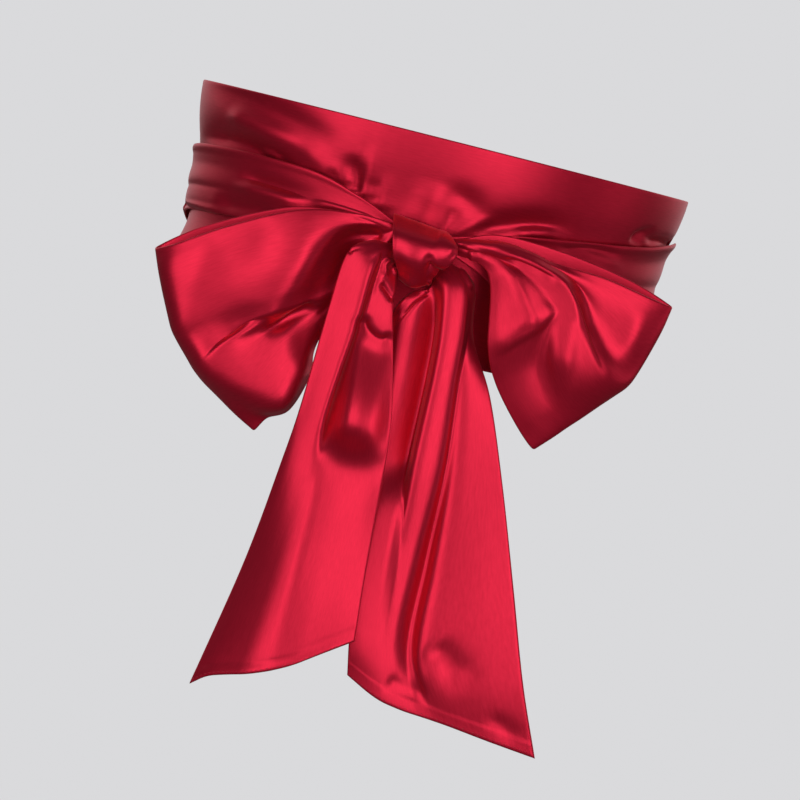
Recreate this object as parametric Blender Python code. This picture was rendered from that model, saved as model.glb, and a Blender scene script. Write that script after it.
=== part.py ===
# A satin sash worn round the waist and tied in a bow at the front.
# Millimetres in the tables, metres in the scene. +Z is up, the bow faces -Y, +X is the viewer's right.
# The origin is the middle of the waist, where the wearer holds the sash up.

import math

import bpy
import numpy as np

MM = 0.001

# Driving sizes of the cloth.
BAND_WALL = 1.5
BOW_WALL = 1.2
KNOT_WALL = 1.4
SEAM_GAP = 0.5
FOLD_ROUND = 0.42

# The worn waist: half its width across at each height, and its depth as a share of its width.
WAIST_DEPTH = 0.80
WAIST_SOFTNESS = 7.0
WAIST_HEIGHT = (-54, -32, -22, -13, 0, 18, 28, 40, 50)
WAIST_HALF_WIDTH = (123.5, 118, 114.5, 114.5, 116, 117, 120, 122, 124)

# The middle stretch of the sash: degrees round from the front, top and bottom heights.
FRONT_TURN = (
    # angle, top, bottom
    (-145, 50, 0.5),
    (-135, 50, 0.0),
    (-122, 50, -11),
    (-98, 50, -43),
    (-60, 50, -48),
    (-25, 50, -50),
    (25, 50, -52),
    (60, 50, -46),
    (98, 50, -30),
    (122, 50, -9),
    (135, 50, 0.0),
    (145, 50, 0.5),
)

# Soft creases in the middle stretch, from one point of its front to another.
# A height above zero is a ridge and below zero a trough.
FRONT_CREASES = (
    # from x, from z, to x, to z, half width, height
    (-112, 45, -52, 35, 4.5, -1.6),
    (-106, 38, -46, 29, 4.0, 1.6),
    (-104, 28, -66, 27, 3.5, -1.4),
    (-37, 36, -34, 22, 2.8, -1.6),
    (-29, 38, -27, 21, 3.0, 1.6),
    (-2, 27, 1, 16, 5.0, 1.6),
    (6, 33, 26, 24, 4.0, -1.4),
    (28, 22, 62, 30, 4.0, -1.4),
    (98, 33, 116, 37, 3.0, -1.2),
)

# The two ends that come round from the back to the knot: degrees round from the knot on their own side,
# top and bottom heights, how far they stand off the waist, and the height of their gathers.
LEFT_WRAP = (
    # angle, top, bottom, lift, gather
    (6.1, 6.7, 3.4, 8.9, 0.0),
    (16, 14.5, 0, 5.7, 0.7),
    (30, 20.5, -8, 3.2, 1.6),
    (60, 20.5, -12, 2.5, 1.6),
    (90, 17, -16, 3.1, 1.4),
    (118, 10, -31, 3.3, 1.2),
    (145, 9, -42, 3.0, 1.0),
    (180, 35, -17, 3.0, 1.0),
    (205, 48, -1, 2.4, 0.6),
    (215, 50, 0.5, 0, 0),
)
RIGHT_WRAP = (
    # angle, top, bottom, lift, gather
    (4.8, 5.2, 2.4, 8.9, 0.0),
    (16, 11.5, 0, 5.8, 0.7),
    (30, 16.5, -7, 3.4, 1.5),
    (60, 23, -11, 2.7, 1.5),
    (90, 28.5, -13, 2.4, 1.4),
    (110, 17, -26, 2.6, 1.2),
    (122, 4, -40, 2.4, 1.0),
    (135, -0.8, -45, 1.8, 0.6),
    (149, -1.2, -45, 0.3, 0.2),
    (180, 33, -15, 0, 0.2),
    (215, 50, 0.5, 0, 0),
)
WRAP_GATHERS = 3

# The knot is a sleeve round the bow's roots. One row for each line along it, going round from its top.
KNOT = (
    # left x, left y, left z, middle x, middle y, middle z, right x, right y, right z
    (-15.0, -104.0, 9.8, -2, -106.0, 8.6, 11.0, -104.0, 7.2),
    (-14.2, -112.5, 6.5, -1, -115.5, 5.5, 14.5, -112.5, 5.2),
    (-12.8, -120.6, 0.6, 1, -123.4, 0.2, 18.6, -119.8, 0),
    (-10.4, -121.4, -7.2, 1, -124.8, -8.0, 17.0, -120.0, -5.8),
    (-6.8, -115.8, -14.0, 2, -118.8, -15.4, 11.4, -115.2, -12.8),
    (-5.3, -110.0, -18.4, 2, -112.4, -20.8, 9.0, -109.6, -17.6),
    (-8.0, -100.0, -13.0, 2, -100.0, -15.5, 9.5, -100.0, -12.5),
    (-12.0, -96.6, -4.0, 1, -96.2, -5.0, 13.0, -96.6, -4.0),
    (-14.3, -98.0, 6.0, 0, -98.0, 5.0, 12.0, -98.0, 4.4),
)

# Each face of a loop and each tail has one row for each fold, from its upper or outer edge, and one point
# (x, y, z) for each stage from the knot to the end.
LEFT_LOOP_FRONT = (
    ("upper edge", (-12.6, -110, 5.7), (-31, -112.8, 6.2), (-57, -117.5, 1.6), (-88, -116, -14),
     (-111, -112.5, -28.8), (-119, -103.5, -32)),
    ("upper ridge", (-12.5, -110.5, 4.6), (-31, -113.4, 3.6), (-55, -119.2, -3), (-86.5, -118, -20.5),
     (-110, -114.5, -37.5), (-115, -104, -40.5)),
    ("crescent", (-12.4, -110.8, 3.6), (-31, -113.6, 0.6), (-53, -122, -13), (-84.5, -119.5, -31),
     (-106, -115.5, -47.5), (-110.5, -104.5, -50)),
    ("hollow", (-12.3, -110.9, 2.9), (-35, -107, -9.5), (-51, -123.5, -24), (-82.5, -120, -42),
     (-102, -116, -56.5), (-106, -104.5, -59)),
    ("fold face", (-12.3, -110.9, 2.1), (-36, -107.2, -21), (-53, -122.5, -36), (-80.5, -119.4, -50),
     (-98.5, -116, -64), (-102, -104.5, -67)),
    ("side valley", (-12.2, -110.7, 1.4), (-35, -109.2, -27), (-55.5, -121.5, -43), (-79.5, -118.6, -57.5),
     (-94, -115.3, -69.5), (-97.5, -104.3, -72.5)),
    ("fold edge", (-12.2, -110.5, 0.7), (-34, -110.3, -32), (-57.5, -121, -48.5), (-77, -120.4, -64),
     (-88, -117, -75), (-92.5, -104.5, -78)),
    ("under fold", (-12.1, -110.2, -0.1), (-35, -108.8, -36.5), (-55, -113.5, -51), (-73, -120, -69),
     (-84.5, -117.5, -80), (-88, -104.5, -82.5)),
    ("lower puff", (-12.05, -109.7, -0.9), (-36, -107.9, -41.2), (-52.5, -115.5, -58), (-67.5, -120, -77),
     (-79.5, -117.5, -84), (-82, -104.5, -87.5)),
    ("lower face", (-12, -109.2, -1.6), (-36, -107.8, -46.5), (-48.5, -116.8, -67), (-58, -119.8, -84),
     (-70, -116.5, -88.8), (-75, -104.5, -92)),
    ("bottom corner", (-12, -108.6, -2.4), (-35, -107, -50.5), (-40.3, -116.6, -76), (-45, -118, -89),
     (-57, -111.5, -96), (-64, -104.5, -99)),
    ("curled edge", (-12, -108, -3.2), (-34, -105.5, -54), (-34.5, -106.3, -73), (-40.5, -107.8, -90),
     (-49, -106.5, -97.5), (-54, -104, -104.5)),
)
LEFT_LOOP_BACK = (
    ("upper edge", (-99, -98.5, -16.8), (-62, -97.5, 1.5), (-32, -99.6, 5), (-14, -105.5, 4)),
    ("middle", (-84, -98, -58), (-58, -96.5, -36), (-34, -98.5, -18), (-14, -105.5, 1)),
    ("lower edge", (-52, -99, -86), (-42, -98, -60), (-31, -98.5, -30), (-14, -105.5, -2.2)),
)
RIGHT_LOOP_FRONT = (
    ("upper edge", (13.2, -108.2, 5.2), (36, -112.5, 9), (62, -113, 6.2), (88, -111.5, 5.2),
     (112, -109, 1.2), (122, -103.5, 0)),
    ("outer face", (13.35, -108.8, 4.5), (37, -115, 8), (67, -114.8, 4), (94, -113.5, -4),
     (112, -111.5, -12), (120, -104, -12)),
    ("valley", (13.5, -109.4, 3.9), (38, -117, 6.8), (73, -114, 1), (90, -109.5, -16.5), (104, -108.5, -31),
     (115.5, -104, -30)),
    ("long ridge", (13.7, -109.9, 3.4), (39, -118.5, 5.2), (71.5, -120.5, -1.5), (85.5, -120.6, -20.5),
     (102, -116, -38), (112, -104.5, -40)),
    ("behind ridge", (13.8, -110, 2.9), (40, -118, 3.2), (68, -119.6, -6), (82, -120.2, -29),
     (95, -115, -45.5), (106.5, -104.5, -46.5)),
    ("side ridge", (14, -110, 2.2), (41, -117, 1.4), (66.5, -119.6, -11), (76, -120.4, -37),
     (88, -113.5, -52), (100.5, -104.5, -53.5)),
    ("dark side", (14.1, -110, 1.6), (41, -117.8, 0), (64, -121, -16), (70, -114, -41.5), (82, -111, -59),
     (94.5, -104.5, -60.5)),
    ("peak", (14.3, -110, 1), (40, -118.2, -2), (58, -122.6, -21.5), (61.5, -114.3, -46), (76, -110.5, -64),
     (89, -104.5, -66.5)),
    ("bright face", (14.4, -109.7, 0.2), (38, -117.2, -4), (49.5, -119.6, -25.5), (55, -112.8, -50),
     (71.5, -109.5, -69), (83, -104.5, -73.5)),
    ("inner edge", (14.6, -109, -0.8), (34.5, -115, -6), (41.5, -116.6, -31), (50, -110.5, -54),
     (66, -107.5, -73), (76, -104, -81)),
)
RIGHT_LOOP_BACK = (
    ("upper edge", (100, -98.5, 7), (66, -97, 12), (35, -99.8, 12.3), (14.5, -105.5, 4.2)),
    ("middle", (96, -98, -30), (68, -96.5, -14), (42, -98.8, -3), (14.5, -105.5, 1.6)),
    ("inner edge", (67, -99, -65), (52, -97.5, -42), (40, -98.5, -14), (14.5, -105.5, -1.0)),
)
LEFT_TAIL = (
    ("outer edge", (-11.5, -113, -3.4), (-22.5, -116, -5.4), (-31.3, -117.5, -13), (-33.5, -118.5, -40),
     (-35, -119, -86), (-37.3, -117.5, -114), (-43, -115.5, -165), (-54, -115.5, -228)),
    ("strip side", (-11.4, -113.6, -4), (-21.3, -119, -7), (-29.5, -121, -15), (-31, -121.5, -40),
     (-32.7, -122, -86), (-34, -121.3, -114), (-38, -119.8, -164), (-47, -120.8, -221.5)),
    ("strip", (-11.2, -114.5, -4.8), (-18.8, -121, -9.5), (-25, -123, -17.5), (-26, -123.5, -41),
     (-28.5, -124, -86), (-29.5, -123.5, -114), (-32, -124.3, -163), (-38, -126.8, -217.8)),
    ("strip edge", (-11, -115, -5.8), (-16, -120.5, -12), (-18.2, -125, -20), (-19, -126, -43),
     (-22.3, -126.5, -86), (-23, -125.9, -113.5), (-25.5, -128.2, -162), (-29, -132.3, -214.6)),
    ("tuck", (-10.8, -114.5, -6.6), (-14.3, -118, -13), (-16.4, -119.8, -22), (-17.6, -120, -44),
     (-20.6, -117.5, -86), (-18, -126.4, -113), (-18, -130.6, -160.5), (-19, -136.5, -210.1)),
    ("bowl", (-10.6, -114, -7.3), (-12.5, -117, -15), (-12.5, -118.6, -26), (-14, -118.6, -46),
     (-14, -111.4, -86), (-10, -125.4, -112.5), (-9, -129.8, -159), (-9, -137, -204.7)),
    ("middle", (-10.5, -113, -8.2), (-10.4, -116, -17), (-8.7, -117.9, -29), (-9, -117.8, -48),
     (-7, -111, -86), (-3, -124.2, -112), (-1, -128.5, -158), (0, -135.6, -198.3)),
    ("inner side", (-10.1, -112.4, -9.2), (-8.6, -115, -18.8), (-6, -117.4, -31), (-4, -117.1, -47.5),
     (0, -111.6, -84.5), (4, -122.7, -111.5), (7, -127.2, -157), (8.5, -134, -192.4)),
    ("inner edge", (-9.4, -111.4, -10.6), (-6.3, -113.4, -19.4), (-4.2, -117, -33), (-0.5, -116.6, -47),
     (7.5, -114.6, -82), (10.8, -121, -111), (13.8, -125.8, -156), (16.5, -132, -187)),
)
RIGHT_TAIL = (
    ("hidden edge", (3.4, -106, -24), (-2.2, -107.5, -30), (-4, -107, -38), (-4, -105, -60),
     (0, -105, -100), (6, -114.3, -140), (13, -118.2, -185), (17, -120.4, -204.5)),
    ("pleat", (6, -107, -23), (2, -110.5, -28.5), (1, -111, -39), (2, -109.6, -60), (7, -109.3, -100),
     (11.3, -116.3, -138), (17.5, -119.4, -185), (22, -121.9, -207)),
    ("pleat side", (7.8, -107.2, -21.8), (7, -110, -26.3), (8, -109.8, -38.5), (9.5, -108.2, -60),
     (13, -107, -99), (16, -117.6, -136), (21.5, -120.6, -185), (26, -123.3, -209)),
    ("hollow", (9.6, -107.1, -20.2), (13.6, -106.2, -24), (17.3, -103.4, -38), (19.4, -102.3, -60),
     (20.9, -103.8, -98), (20.6, -118.9, -132), (25, -121.7, -185), (30, -124.8, -210.8)),
    ("strip side", (10.9, -107, -16.5), (14.6, -110.6, -20.6), (18.5, -111.5, -38), (20.3, -112.6, -60),
     (21.4, -114.6, -98), (24, -120.1, -135), (28.5, -122.8, -185), (34, -126, -212.3)),
    ("strip left", (11.3, -108.3, -13), (16.8, -115, -18), (20, -118.4, -37), (21.8, -119.7, -60),
     (23.2, -121.2, -100), (27.5, -121.2, -145), (31, -123, -185), (38, -127, -213.3)),
    ("strip right", (13, -109, -8.5), (25.3, -113.7, -15.6), (30, -116.8, -35), (31.6, -118.2, -60),
     (35, -119.3, -100), (34.5, -120.2, -145), (36, -122.3, -185.5), (47, -127.5, -214.7)),
    ("trough", (13.6, -108.2, -6.9), (27.2, -110.9, -14.7), (31.9, -112.6, -35.7), (33.8, -113.8, -60),
     (38, -114.6, -100), (40.5, -114.5, -145), (43, -118, -186), (56, -127, -215.2)),
    ("ridge", (13.8, -107.6, -6), (28.1, -109.3, -14.1), (33.2, -111.4, -36.3), (38, -114.8, -61),
     (46, -118, -101), (48.5, -122, -146), (53, -124.6, -188), (68, -129, -216)),
    ("outer face", (14.1, -107, -5.2), (28.9, -107.5, -13.5), (34.3, -109.6, -36.8), (44.5, -114, -61.5),
     (56.5, -117.4, -101), (66, -120, -147), (75, -124.5, -189), (89, -131, -218.6)),
    ("outer edge", (14.2, -106.5, -4.8), (29.6, -105.8, -13), (35.2, -107.2, -37), (50, -112.8, -62),
     (66, -115.6, -101), (83, -117.5, -147), (97.5, -121.5, -187), (112, -128, -221)),
)

SATIN_RED = (0.50, 0.004, 0.022, 1.0)


def satin(name):
    """The sash's own red satin."""
    material = bpy.data.materials.new(name)
    material.use_nodes = True
    shader = material.node_tree.nodes["Principled BSDF"]
    shader.inputs["Base Color"].default_value = SATIN_RED
    shader.inputs["Roughness"].default_value = 0.34
    shader.inputs["Metallic"].default_value = 0.45
    material.diffuse_color = SATIN_RED
    return material


def through(rows, count, cyclic=False):
    """Evenly spaced stages of a smooth curve through rows, along their first axis."""
    rows = np.asarray(rows, float)
    spans = len(rows) if cyclic else len(rows) - 1
    if cyclic:
        padded = np.concatenate([rows[-1:], rows, rows[:2]])
        at = np.arange(count) * spans / count
    else:
        before = 2 * rows[:1] - rows[1:2]
        after = 2 * rows[-1:] - rows[-2:-1]
        padded = np.concatenate([before, rows, after])
        at = np.linspace(0, spans, count)
    k = np.minimum(at.astype(int), spans - 1)
    f = (at - k).reshape(-1, *[1] * (rows.ndim - 1))
    p0, p1, p2, p3 = (padded[k + step] for step in range(4))
    bend = (2 * p0 - 5 * p1 + 4 * p2 - p3) * f**2 + (3 * p1 - p0 - 3 * p2 + p3) * f**3
    return 0.5 * (2 * p1 + (p2 - p0) * f + bend)


def folded(rows, count):
    """Evenly spaced points on flat faces between rows, with a rounded fold at each row."""
    rows = np.asarray(rows, float)
    padded = np.concatenate([2 * rows[:1] - rows[1:2], rows, 2 * rows[-1:] - rows[-2:-1]])
    sums = np.concatenate([0 * padded[:1], np.cumsum((padded[1:] + padded[:-1]) / 2, axis=0)])

    def summed(place):
        k = np.minimum(place.astype(int), len(padded) - 2)
        f = (place - k).reshape(-1, *[1] * (rows.ndim - 1))
        return sums[k] + padded[k] * f + (padded[k + 1] - padded[k]) * f * f / 2

    middle = np.linspace(1, len(rows), count)
    return (summed(middle + FOLD_ROUND) - summed(middle - FOLD_ROUND)) / (2 * FOLD_ROUND)


def across_folds(folds, count):
    """Points across the cloth at each stage of a table of folds, as stages by points by x, y, z."""
    return folded([fold[1:] for fold in folds], count).transpose(1, 0, 2)


def waist_half_width(height):
    """Half the width of the worn waist at a height, softly changing."""
    near = np.linspace(-WAIST_SOFTNESS, WAIST_SOFTNESS, 9)
    return sum(np.interp(height + step, WAIST_HEIGHT, WAIST_HALF_WIDTH) for step in near) / len(near)


def waist_point(angle, height, lift=0.0):
    """A point on the worn waist, or standing off it, at an angle in radians round from the front."""
    across = waist_half_width(height) + lift
    deep = waist_half_width(height) * WAIST_DEPTH + lift
    return np.stack([across * np.sin(angle), -deep * np.cos(angle), height], axis=-1)


def crease_lift(points, creases):
    """How far the creases raise each point of the front."""
    x, height = points[..., 0], points[..., 2]
    lift = np.zeros(x.shape)
    for from_x, from_z, to_x, to_z, half_width, rise in creases:
        run = np.array([to_x - from_x, to_z - from_z], float)
        length = np.hypot(*run)
        along = ((x - from_x) * run[0] + (height - from_z) * run[1]) / length
        away = ((x - from_x) * run[1] - (height - from_z) * run[0]) / length
        beyond = np.maximum(np.abs(along - length / 2) - length / 2, 0)
        lift += rise * np.exp(-((away / half_width) ** 2) - (beyond / (2 * half_width)) ** 2)
    return np.where(points[..., 1] < 0, lift, 0)


def sheet(name, grid, wall, cyclic=False):
    """A cloth wall round a grid of points, as one closed solid in the scene."""
    rows, columns = grid.shape[:2]
    wide = columns if cyclic else columns - 1
    faces = []
    for start in range(0, (rows - 1) * columns, columns):
        for c in range(wide):
            after = (c + 1) % columns
            faces.append((start + c, start + after, start + columns + after, start + columns + c))
    mesh = bpy.data.meshes.new(name)
    mesh.from_pydata((grid.reshape(-1, 3) * MM).tolist(), [], faces)
    mesh.shade_smooth()
    mesh.materials.append(satin(name))
    obj = bpy.data.objects.new(name, mesh)
    bpy.context.scene.collection.objects.link(obj)
    solid = obj.modifiers.new("cloth wall", "SOLIDIFY")
    solid.thickness = wall * MM
    solid.offset = 0
    return obj


def front_turn(around=57, tall=8):
    """The middle stretch, spread over the front and both sides and gathered up towards the back."""
    stages = through(FRONT_TURN, around)
    end_gap = math.degrees(SEAM_GAP / WAIST_HALF_WIDTH[-1])
    stages[0, 0] += end_gap
    stages[-1, 0] -= end_gap
    share = np.linspace(0, 1, tall)
    angle = np.radians(stages[:, :1]) + 0 * share
    height = stages[:, 1:2] + (stages[:, 2:3] - stages[:, 1:2]) * share
    points = waist_point(angle, height)
    points = waist_point(angle, height, crease_lift(points, FRONT_CREASES))
    return sheet("front_turn", points, BAND_WALL)


def wrap(name, table, side, along=44, tall=9):
    """An end of the sash, gathered, from the knot round its own side and across the back."""
    stages = through(table, along)
    share = np.linspace(0, 1, tall)
    angle = side * np.radians(stages[:, :1]) + 0 * share
    height = stages[:, 1:2] + (stages[:, 2:3] - stages[:, 1:2]) * share
    wave = 0.5 - 0.5 * np.cos(2 * math.pi * WRAP_GATHERS * share)
    lift = stages[:, 3:4] + stages[:, 4:5] * wave
    return sheet(name, waist_point(angle, height, lift), BAND_WALL)


def loop(name, front, back, across=23, stages=21):
    """A loop of the bow: its front face, the fold at its end and its back face, in one strip."""
    rows = np.concatenate([across_folds(front, across), across_folds(back, across)])
    return sheet(name, through(rows, stages), BOW_WALL)


def tail(name, folds, across=21, stages=22):
    """A hanging end of the sash."""
    return sheet(name, through(across_folds(folds, across), stages), BOW_WALL)


def knot(around=26, long=9):
    """The sleeve of cloth wrapped over the middle of the bow."""
    lines = np.array(KNOT, float).reshape(len(KNOT), 3, 3)
    ring = through(lines, around, cyclic=True).transpose(1, 0, 2)
    return sheet("knot", through(ring, long), KNOT_WALL, cyclic=True)


def main():
    for obj in list(bpy.data.objects):
        bpy.data.objects.remove(obj)
    front_turn()
    wrap("left_wrap", LEFT_WRAP, -1)
    wrap("right_wrap", RIGHT_WRAP, 1)
    knot()
    loop("left_loop", LEFT_LOOP_FRONT, LEFT_LOOP_BACK)
    loop("right_loop", RIGHT_LOOP_FRONT, RIGHT_LOOP_BACK)
    tail("left_tail", LEFT_TAIL)
    tail("right_tail", RIGHT_TAIL)


main()
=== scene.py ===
# The looks of a satin sash worn round the waist and tied in a bow at the front.
# Tables and sizes are in millimetres, in the part's own frame:
# +Z up, the bow towards -Y, +X to the viewer's right.

import math

import bpy
import numpy as np
from mathutils import Matrix, Vector


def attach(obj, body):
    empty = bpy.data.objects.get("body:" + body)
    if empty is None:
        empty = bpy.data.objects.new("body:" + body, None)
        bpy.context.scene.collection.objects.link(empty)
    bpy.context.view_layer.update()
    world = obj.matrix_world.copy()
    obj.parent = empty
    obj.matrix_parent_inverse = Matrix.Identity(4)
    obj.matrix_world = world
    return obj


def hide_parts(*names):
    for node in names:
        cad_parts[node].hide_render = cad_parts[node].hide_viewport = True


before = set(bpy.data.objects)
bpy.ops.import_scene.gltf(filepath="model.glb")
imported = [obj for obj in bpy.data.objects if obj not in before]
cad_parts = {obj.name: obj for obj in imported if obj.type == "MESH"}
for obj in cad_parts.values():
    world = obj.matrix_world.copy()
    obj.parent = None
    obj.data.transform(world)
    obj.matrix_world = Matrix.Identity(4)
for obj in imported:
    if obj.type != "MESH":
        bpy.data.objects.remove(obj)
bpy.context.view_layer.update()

MM = 0.001

# Camera: it looks a little down at the front and is turned on its own axis.
CAMERA_PLACE = (9.4, -1800.0, 35.6)
CAMERA_TARGET = (9.4, 0.0, -81.0)
CAMERA_ROLL = 14.2
CAMERA_LENS = 162.3

# Soft light: its middle is aimed at a point behind the knot.
LIGHT_TARGET = (0.0, -80.0, -40.0)
LIGHTS = (
    # name, azimuth and elevation in degrees, distance, width and height in metres, watts, colour
    ("left_softbox", -40, 8, 2.2, 1.0, 2.3, 18.0, (1.0, 0.99, 0.98)),
    ("right_softbox", 23, 8, 2.2, 0.95, 2.3, 18.5, (1.0, 0.99, 0.98)),
    ("front_fill", -8, 8, 2.3, 1.5, 2.3, 9.0, (1.0, 0.98, 0.98)),
    ("side_fill", 80, 8, 2.2, 1.0, 2.0, 3.5, (1.0, 0.98, 0.98)),
)

# The pale room: its backdrop's colour, how strongly it lights the cloth in front and behind,
# and a round floor, in metres, that fades into the backdrop.
PALE = (0.70, 0.70, 0.715)
ROOM_IN_FRONT = 0.05
ROOM_BEHIND = 0.75
FLOOR_REACH = 12.0
FLOOR_HEIGHT = -1.0
FLOOR_SIDES = 96
FLOOR_FADE = (1.2, 3.6)

# Cloth: two layers of satin sewn into a strip, turned and pressed. The wall keeps a sliver of its
# thickness at its very edge, and a fold is rounded over a share of the way to the next one.
CLOTH_WALL = 1.1
KNOT_WALL = 1.2
EDGE_ROUND = 0.9
EDGE_LEAST = 0.004
FOLD_ROUND = 0.42
HEM_ALLOWANCE = 8.0
HEM_RISE = 0.16
HEM_STEP = 1.2
CUT_WIDTH = 100.0
BOW_DEPTH = -120.0

# Grid lines along and across each kind of piece, each count with the millimetres that it spans.
# Round the knot, where the cloth has no edge, there is a count alone.
TURN_ALONG, TURN_ACROSS = (440, 560), (80, 98)
WRAP_ALONG, WRAP_ACROSS = (330, 400), (64, 32)
LOOP_ALONG, LOOP_ACROSS = (190, 240), (120, 95)
TAIL_ALONG, TAIL_ACROSS = (220, 230), (104, 90)
KNOT_ALONG, KNOT_ROUND = (60, 30), 132

# Satin: its shaded threads, its bright threads and its roughness, on the band and on the bow.
BAND_FINISH = ((0.46, 0.006, 0.026), (0.66, 0.015, 0.050), 0.40)
BOW_FINISH = ((0.48, 0.006, 0.027), (0.69, 0.017, 0.053), 0.38)
GLOSS_CHANGE = 0.03
WARP_SCALE = 1400.0
WEFT_SCALE = 770.0

# Stitches that close the slanted ends, and the share of their thickness that is sunk in the cloth.
STITCH_PITCH = 2.6
STITCH_LENGTH = 1.5
STITCH_THICKNESS = 0.28
STITCH_SUNK = 0.15
STITCH_INSET = 1.6
STITCH_MARGIN = 4

# The worn waist: half its width across at each height, and its depth as a share of its width.
WAIST_DEPTH = 0.80
WAIST_SOFTNESS = 7.0
WAIST_HEIGHT = (-54, -32, -22, -13, 0, 17, 28, 38, 50)
WAIST_HALF_WIDTH = (123.5, 118, 114.5, 114.5, 116, 117, 120.5, 122.8, 124)

# The middle stretch: degrees round from the front, top and bottom heights.
FRONT_TURN = (
    # angle, top, bottom
    (-145, 50, 0.5),
    (-135, 50, 0.0),
    (-122, 50, -11),
    (-98, 50, -43),
    (-60, 50, -48),
    (-25, 50, -50),
    (25, 50, -52),
    (60, 50, -46),
    (98, 50, -30),
    (122, 50, -9),
    (135, 50, 0.0),
    (145, 50, 0.5),
)
BUTT_GAP = 0.25

# The ends that come round from the back to the knot: degrees round from the knot on their own side,
# top and bottom heights, and how far they stand off the waist.
LEFT_WRAP = (
    # angle, top, bottom, lift
    (6.1, 6.7, 3.4, 8.9),
    (16, 14.5, 0, 5.7),
    (30, 20.5, -8, 3.2),
    (60, 20.5, -12, 2.5),
    (90, 17, -16, 3.1),
    (118, 10, -31, 3.3),
    (145, 9, -42, 3.0),
    (180, 35, -17, 3.0),
    (205, 48, -1, 2.4),
    (215, 50, 0.5, 0),
)
RIGHT_WRAP = (
    # angle, top, bottom, lift
    (4.8, 5.2, 2.4, 8.9),
    (16, 11.5, 0, 5.8),
    (30, 16.5, -7, 3.4),
    (60, 23, -11, 2.7),
    (90, 28.5, -13, 2.4),
    (110, 17, -26, 2.6),
    (122, 4, -40, 2.4),
    (135, -0.8, -45, 1.8),
    (149, -1.2, -45, 0.3),
    (180, 33, -15, 0),
    (215, 50, 0.5, 0),
)

# Gathers that run along each wrap: share of the way down it, half width as a share of its height,
# and their height at the knot, at the side and at the back. They start and end at the first and last
# of these angles, and have those heights at the ones between.
GATHER_ANGLES = (8, 20, 90, 150, 205, 214)
LEFT_GATHERS = (
    # down, half width, knot, side, back
    (0.05, 0.05, 0.2, 0.6, 0.8),
    (0.30, 0.11, 0.0, -0.4, -0.7),
    (0.50, 0.12, 0.3, 0.3, 1.0),
    (0.62, 0.05, 0.0, -0.5, -0.6),
    (0.80, 0.10, 0.2, 0.3, 1.2),
    (0.94, 0.05, 0.1, 0.9, 0.5),
)
RIGHT_GATHERS = (
    # down, half width, knot, side, back
    (0.05, 0.05, 0.2, 0.6, 0.5),
    (0.22, 0.09, 0.0, -0.3, -0.5),
    (0.42, 0.12, 0.3, 0.5, 1.1),
    (0.58, 0.06, 0.0, -0.4, -0.8),
    (0.74, 0.10, 0.2, 0.4, 0.9),
    (0.92, 0.06, 0.1, 0.4, 0.8),
)

# Where creases fade out: on cloth that turns its edge to the front, towards the folded end of a loop,
# in the first degrees of a wrap and round the side of the knot.
CREASE_FACING = (0.1, 0.3)
LOOP_FADE = 0.03
WRAP_FADE = 6
KNOT_FRONT = -104
KNOT_FADE = 4

# Creases: a path of (x, z) points as seen from the front, half widths on its left and right hand,
# height above the cloth (below zero is a trough), and the shares of its length over which it
# starts and ends.
CREASE_STEPS = 14
BAND_CREASES = (
    # path, left, right, height, start, end
    (((-116, 48), (-94, 45), (-66, 40), (-44, 36)), 5.0, 5.0, -2.2, 0.3, 0.5),
    (((-102, 38), (-80, 33), (-52, 28)), 4.0, 4.5, 2.2, 0.2, 0.5),
    (((-110, 25), (-92, 24.5), (-74, 20.5), (-58, 20)), 5.0, 3.0, -3.0, 0.2, 0.4),
    (((-84, 24), (-77, 23), (-71, 21)), 1.3, 1.2, 1.5, 0.4, 0.3),
    (((-66, 30), (-54, 25), (-46, 20)), 5.0, 4.0, 1.2, 0.4, 0.3),
    (((-48, 27), (-43, 22), (-39, 18)), 2.6, 1.4, 1.1, 0.4, 0.2),
    (((-38, 34), (-36, 26), (-33.8, 15)), 1.0, 4.6, -2.6, 0.5, 0.1),
    (((-32.5, 40), (-30, 28), (-28.5, 14)), 3.0, 2.4, 1.0, 0.5, 0.1),
    (((-28.5, 25), (-27, 19), (-26, 12)), 2.6, 0.8, -1.1, 0.4, 0.2),
    (((-22, 30), (-21, 20), (-20, 10)), 5.0, 2.0, 0.8, 0.5, 0.2),
    (((1, 31), (0, 20), (-2, 6)), 7.0, 7.5, 2.0, 0.5, 0.1),
    (((3, 24), (12, 26), (20, 23), (26, 15)), 5.0, 4.0, -1.5, 0.4, 0.4),
    (((15, 24), (11.5, 15), (9.5, 6)), 2.2, 1.2, -1.2, 0.5, 0.1),
    (((12, 7), (22, 15), (34, 22)), 1.6, 2.4, 1.0, 0.1, 0.5),
    (((22, 11), (38, 17.5), (54, 22), (72, 24)), 6.0, 3.0, -2.4, 0.2, 0.4),
    (((41, 14.5), (50, 18), (64, 20.5)), 1.8, 2.0, 1.9, 0.3, 0.3),
    (((95.5, 24), (97.5, 29.5), (105, 34)), 1.0, 4.0, -2.2, 0.2, 0.4),
    (((101, 26.5), (109, 28), (118, 27.5)), 2.6, 2.0, -2.0, 0.3, 0.1),
)
JOINING_SEAM = (((-33.5, 52), (-33.2, 34), (-32.6, 14)), 0.5, 0.5, -0.45, 0.02, 0.1)

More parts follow.
